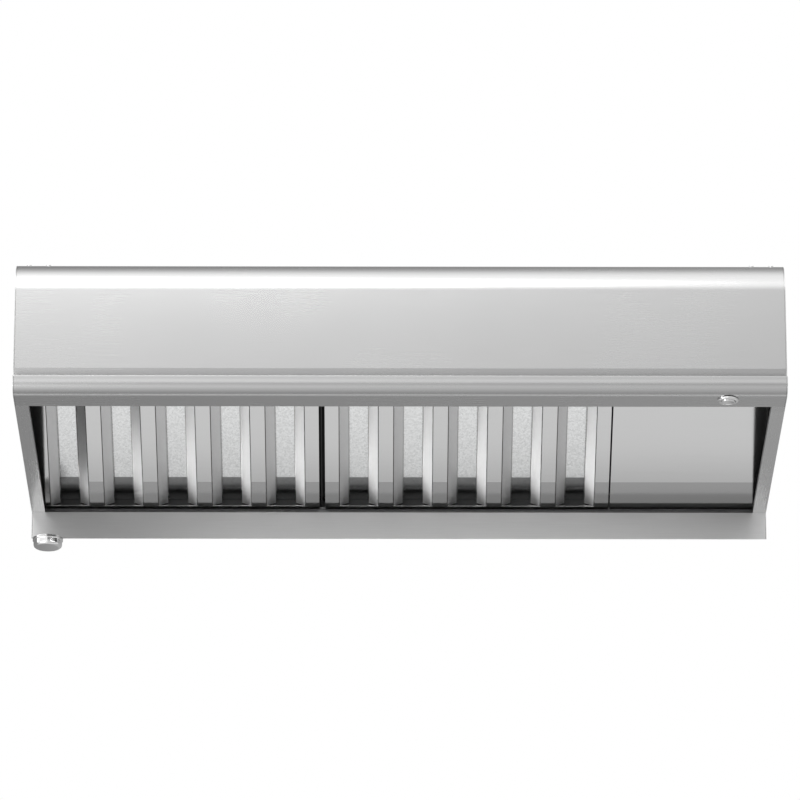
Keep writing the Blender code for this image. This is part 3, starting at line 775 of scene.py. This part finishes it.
class HOOD_OT_lamps(HoodOperator):
    """Two round ceiling lamps"""
    bl_idname = "hood.lamps"
    bl_label = "Lamps"

    def execute(self, context):
        for side in ("left", "right"):
            low, high = (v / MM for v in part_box("lamp_bezel_" + side))
            middle = ((low.x + high.x) / 2, (low.y + high.y) / 2)
            r = (high.x - low.x) / 2
            ring = [(27.0, high.z), (27.0, low.z + 1.6), (28.2, low.z + 0.5), (30.0, low.z),
                    (33.5, low.z + 0.5), (35.8, low.z + 1.5), (r, low.z + 2.6), (r, high.z)]
            bezel = lathe(middle, ring + ring[:1], 80)
            smooth(bezel, 50)
            complete(bezel, "lamp_ring_" + side, "steel_across",
                     ["lamp_bezel_" + side])
            refine("lamp_housing_" + side, "alloy", 0.4)
            refine("lamp_lens_" + side, "lens", 0.8, 3)
            refine("lamp_board_" + side, "white", 0.2)
            refine("lamp_heat_pad_" + side, "alloy", 0.3)
        return {"FINISHED"}


class HOOD_OT_blower(HoodOperator):
    """Twin blower, its motor and the outlet box"""
    bl_idname = "hood.blower"
    bl_label = "Blower"

    def execute(self, context):
        for side in ("left", "right"):
            refine("blower_housing_" + side, "zinc", 0.3)
            refine("blower_wheel_" + side, "black_paint", 0.0)
        refine("blower_motor", "motor", 1.0, 3)
        refine("blower_shaft", "chrome", 0.4)
        refine("motor_saddle", "zinc", 0.3)
        refine("outlet_box", "zinc", 0.3)
        return {"FINISHED"}


class HOOD_OT_duct_collar(HoodOperator):
    """Round duct collar with its two damper flaps"""
    bl_idname = "hood.duct_collar"
    bl_label = "Duct collar"

    def execute(self, context):
        refine("duct_collar", "zinc", 0.3)
        for side in ("front", "back"):
            refine("damper_flap_" + side, "alloy", 0.2)
            refine("damper_rod_" + side, "chrome", 0.3)
        return {"FINISHED"}


class HOOD_OT_electrics(HoodOperator):
    """Control box, its contents and the supply bushing"""
    bl_idname = "hood.electrics"
    bl_label = "Electrics"

    def execute(self, context):
        for node, finish, edge in (
                ("control_box", "zinc", 0.3), ("control_box_lid", "zinc", 0.3),
                ("circuit_board", "board", 0.2), ("board_spacer", "white", 0.4),
                ("capacitor", "alloy", 0.8), ("capacitor_clip", "zinc", 0.3),
                ("terminal_block", "black", 0.5), ("supply_bushing", "black", 0.6)):
            refine(node, finish, edge)
        return {"FINISHED"}


class HOOD_OT_screws(HoodOperator):
    """Pan-head screws on the top roll"""
    bl_idname = "hood.screws"
    bl_label = "Screws"

    def execute(self, context):
        for index in (1, 2, 3, 4):
            refine("skin_screw_%d" % index, "chrome", 0.5, 3)
        return {"FINISHED"}


class HOOD_OT_studio(HoodOperator):
    """Pale floor, soft lights, white surround and the camera"""
    bl_idname = "hood.studio"
    bl_label = "Studio"

    def execute(self, context):
        setup_floor()
        setup_world()
        setup_card()
        setup_lights()
        setup_camera()
        context.scene.view_settings.view_transform = "Standard"
        context.scene.view_settings.look = "None"
        return {"FINISHED"}


FLOOR_Z = -4.0
CARD_Z = -1.2
CARD_NEAR, CARD_FAR = 0.3, 0.7  # where the bounce card's brightness starts and stops changing


def setup_floor():
    """Plain pale floor that only shows from above, so a view from below still sees the hood."""
    deselect()
    bpy.ops.mesh.primitive_plane_add(size=80.0, location=(0, 0, FLOOR_Z))
    floor = bpy.context.object
    floor.name = "studio_floor"
    mat, tree, shader, where = new_material("painted_floor_pale", 0.0, 0.85)
    mottle = add_node(tree, "ShaderNodeTexNoise", {"Vector": where, "Scale": 0.6, "Detail": 2.0})
    paint = ramp(tree, mottle.outputs["Fac"], [(0.3, linear("#E4E4E3")), (0.7, linear("#EBEBEA"))])
    tree.links.new(paint, shader.inputs["Base Color"])
    clear = add_node(tree, "ShaderNodeBsdfTransparent")
    side = add_node(tree, "ShaderNodeNewGeometry")
    mixed = add_node(tree, "ShaderNodeMixShader", {0: side.outputs["Backfacing"],
                                                   1: shader.outputs[0], 2: clear.outputs[0]})
    tree.links.new(mixed.outputs[0], tree.nodes["Material Output"].inputs["Surface"])
    floor.data.materials.append(mat)
    floor.visible_glossy = False


# Brightness of the studio round the hood, by the angle from straight ahead over the top to the
# back and under: (angle in degrees, brightness).
SURROUND = [(-180, 0.36), (-160, 0.36), (-130, 0.36), (-108, 0.38), (-86, 0.58), (-64, 0.74),
            (-50, 0.84), (-39, 0.66), (-29, 0.46), (-22, 1.0), (-6, 1.04), (10, 0.78), (20, 0.80),
            (28, 1.05), (38, 1.46), (62, 1.50), (80, 1.38), (92, 1.02), (103, 0.62),
            (118, 0.38), (150, 0.30), (180, 0.36)]
BRIGHTEST = 1.5


def setup_world():
    """Studio walls by SURROUND, a little brighter towards one diagonal. They light the hood and
    show in its steel, but the camera sees plain white in their place."""
    world = bpy.data.worlds.new("studio_surround")
    bpy.context.scene.world = world
    world.use_nodes = True
    tree = world.node_tree
    tree.nodes.clear()
    where = add_node(tree, "ShaderNodeTexCoord").outputs["Generated"]
    axes = add_node(tree, "ShaderNodeSeparateXYZ", {"Vector": where})
    front = add_node(tree, "ShaderNodeMath", {0: axes.outputs["Y"], 1: -1.0}, operation="MULTIPLY")
    turn = add_node(tree, "ShaderNodeMath", {0: axes.outputs["Z"], 1: front.outputs[0]},
                    operation="ARCTAN2")
    part = add_node(tree, "ShaderNodeMapRange", {"Value": turn.outputs[0], "From Min": -math.pi,
                                                 "From Max": math.pi})
    shades = ramp(tree, part.outputs[0], [((a + 180) / 360, b / BRIGHTEST) for a, b in SURROUND])
    seen = add_node(tree, "ShaderNodeLightPath")
    cross = add_node(tree, "ShaderNodeMath", {0: axes.outputs["X"], 1: axes.outputs["Y"]},
                     operation="MULTIPLY")
    slant = add_node(tree, "ShaderNodeMath", {0: cross.outputs[0], 1: 3.0, 2: 1.0},
                     operation="MULTIPLY_ADD")
    slant = add_node(tree, "ShaderNodeClamp", {"Value": slant.outputs[0], "Min": 0.78, "Max": 1.22})
    strength = add_node(tree, "ShaderNodeMath", {
        0: slant.outputs[0], 1: bpy.context.scene.hood_studio.sky * BRIGHTEST},
        operation="MULTIPLY").outputs[0]
    glow = add_node(tree, "ShaderNodeBackground", {"Color": shades, "Strength": strength})
    plain = add_node(tree, "ShaderNodeBackground", {"Color": (1, 1, 1, 1), "Strength": 1.0})
    mixed = add_node(tree, "ShaderNodeMixShader", {0: seen.outputs["Is Camera Ray"],
                                                   1: glow.outputs[0], 2: plain.outputs[0]})
    out = add_node(tree, "ShaderNodeOutputWorld")
    tree.links.new(mixed.outputs[0], out.inputs["Surface"])


def setup_card():
    """Low bounce card behind the hood: brightest along its front edge, fading to the back."""
    deselect()
    bpy.ops.mesh.primitive_plane_add(size=1.0, location=(0.0, 0.75, CARD_Z))
    card = bpy.context.object
    card.scale = (3.0, 0.9, 1.0)
    freeze(card)
    card.name = "studio_card"
    mat, tree, _, where = new_material("bounce_card_white", 0.0, 0.9)
    along = add_node(tree, "ShaderNodeSeparateXYZ", {"Vector": where})
    part = add_node(tree, "ShaderNodeMapRange", {"Value": along.outputs["Y"],
                                                 "From Min": CARD_NEAR, "From Max": CARD_FAR})
    shades = ramp(tree, part.outputs[0], [(0.0, 0.5), (0.2, 1.0), (0.60, 0.97), (0.76, 0.74),
                                          (1.0, 0.45)])
    glow = add_node(tree, "ShaderNodeEmission", {"Color": shades, "Strength": 0.98})
    tree.links.new(glow.outputs[0], tree.nodes["Material Output"].inputs["Surface"])
    card.data.materials.append(mat)
    card.visible_camera = False


def area_light(name, place, target, size, power):
    """A soft rectangular light that points at its target and that the camera does not see."""
    data = bpy.data.lights.new(name, "AREA")
    data.shape = "RECTANGLE"
    data.size, data.size_y = size
    data.energy = power
    lamp = bpy.data.objects.new(name, data)
    lamp.location = place
    lamp.rotation_euler = (Vector(target) - Vector(place)).to_track_quat("-Z", "Y").to_euler()
    lamp.visible_camera = False
    bpy.context.scene.collection.objects.link(lamp)
    return lamp


def setup_lights():
    """Large light overhead, a thin one under the lip for the trough, and one low at the left."""
    studio = bpy.context.scene.hood_studio
    area_light("key_light", (-1.2, -2.6, 2.6), (0, 0, -0.1), (3.0, 1.4), studio.key)
    area_light("low_light", (0.12, -0.215, -0.262), (0.12, 0.28, -0.258), (1.0, 0.04), studio.low)
    area_light("side_light", (-2.6, -2.1, -1.9), (0, 0.15, -0.2), (2.2, 2.2), studio.side)


CAMERA_DROP, CAMERA_LEFT = 4.7243, 0.3150  # aim's distance under and left of the lip, in mm


def setup_camera():
    """Long-lens camera below the hood, looking up at it by 20 degrees from just left of centre."""
    pitch, yaw, distance = math.radians(20.0), math.atan(0.00363), 9.620
    ahead = Vector((math.sin(yaw) * math.cos(pitch), math.cos(yaw) * math.cos(pitch),
                    math.sin(pitch)))
    right = Vector((math.cos(yaw), -math.sin(yaw), 0.0))
    up = right.cross(ahead)
    data = bpy.data.cameras.new("camera")
    data.lens = bpy.context.scene.hood_studio.lens
    data.sensor_width = 36.0
    data.clip_end = 200.0
    lip = Vector((0.0, -0.280, -0.233))
    camera = bpy.data.objects.new("camera", data)
    camera.location = lip - distance * ahead - CAMERA_DROP * MM * up - CAMERA_LEFT * MM * right
    camera.rotation_euler = Matrix((right, up, -ahead)).transposed().to_euler()
    bpy.context.scene.collection.objects.link(camera)
    bpy.context.scene.camera = camera


STEPS = (HOOD_OT_front_skin, HOOD_OT_canopy, HOOD_OT_grease_trough, HOOD_OT_filters,
         HOOD_OT_push_button, HOOD_OT_lamps, HOOD_OT_blower, HOOD_OT_duct_collar,
         HOOD_OT_electrics, HOOD_OT_screws, HOOD_OT_studio)


class HOOD_PT_sidebar(bpy.types.Panel):
    """Lists the hood's sizes, colours and pieces"""
    bl_label = "Range Hood"
    bl_idname = "HOOD_PT_sidebar"
    bl_space_type = "VIEW_3D"
    bl_region_type = "UI"
    bl_category = "Range Hood"

    def draw(self, context):
        for settings in (context.scene.hood_sizes, context.scene.hood_colours,
                         context.scene.hood_studio):
            box = self.layout.box()
            for key in settings.__annotations__:
                box.prop(settings, key)
        column = self.layout.column(align=True)
        for step in STEPS:
            column.operator(step.bl_idname)


CLASSES = (HoodSizes, HoodColours, StudioSettings, *STEPS, HOOD_PT_sidebar)


def register():
    for item in CLASSES:
        bpy.utils.register_class(item)
    scene = bpy.types.Scene
    scene.hood_sizes = bpy.props.PointerProperty(type=HoodSizes)
    scene.hood_colours = bpy.props.PointerProperty(type=HoodColours)
    scene.hood_studio = bpy.props.PointerProperty(type=StudioSettings)


def unregister():
    for key in ("hood_sizes", "hood_colours", "hood_studio"):
        delattr(bpy.types.Scene, key)
    for item in reversed(CLASSES):
        bpy.utils.unregister_class(item)


def main():
    register()
    for step in STEPS:
        group, call = step.bl_idname.split(".")
        getattr(getattr(bpy.ops, group), call)()


if __name__ == "__main__":
    main()
